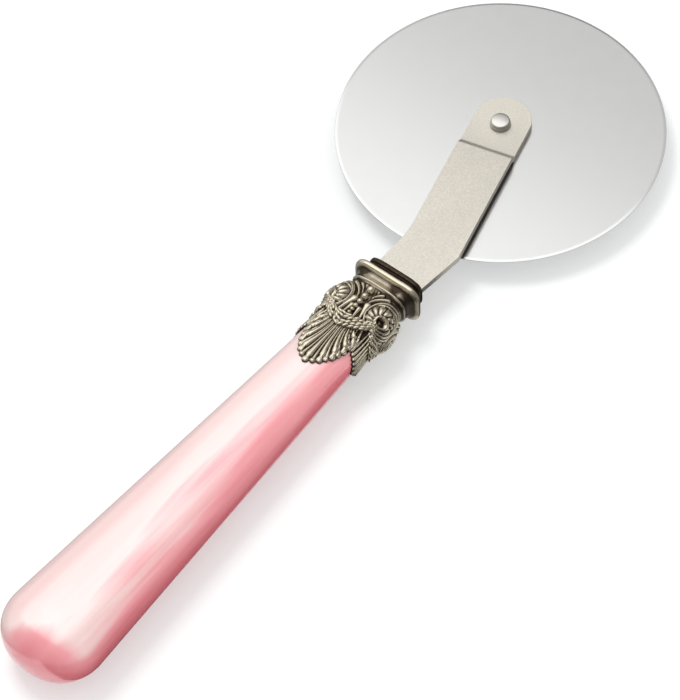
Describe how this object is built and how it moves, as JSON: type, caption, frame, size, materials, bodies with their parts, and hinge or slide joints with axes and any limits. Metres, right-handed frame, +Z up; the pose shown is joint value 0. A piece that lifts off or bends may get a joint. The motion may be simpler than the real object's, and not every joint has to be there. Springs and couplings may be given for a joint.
{
  "type": "pizza cutter",
  "caption": "Hand-held pizza cutter: round steel wheel riveted to a cranked flat arm, ornamental leaf-cast bolster and flattened oval pearl resin handle.",
  "frame": {"origin": "middle of the cutter's box in plan, at the lowest point of the handle, where it lies on a table", "axes": "+X along the handle from its butt to the wheel, +Y towards the side that the arm is cranked to, +Z up, square to the wheel, with the arm above the wheel"},
  "size_m": [0.252, 0.09, 0.02],
  "materials": {
    "pearl_resin": "glossy pearl",
    "antique_metal": "antique, dark in the recesses",
    "satin_steel": "fine satin",
    "set_resin": "matt",
    "polished_steel": "polished",
    "rivet_steel": "polished",
    "washer_steel": "plain"
  },
  "bodies": {
    "cutter": {"handle": "pearl_resin", "bolster": "antique_metal", "wheel_arm": "satin_steel", "tang_cement": "set_resin", "axle_rivet": "rivet_steel", "back_washer": "washer_steel"},
    "wheel": {"cutting_wheel": "polished_steel"}
  },
  "joints": [
    {"name": "wheel_spin", "type": "hinge", "parent": "cutter", "child": "wheel", "pos_m": [0.08098, 0, 0.00695], "axis": [0, 0, 1], "continuous": true}
  ]
}
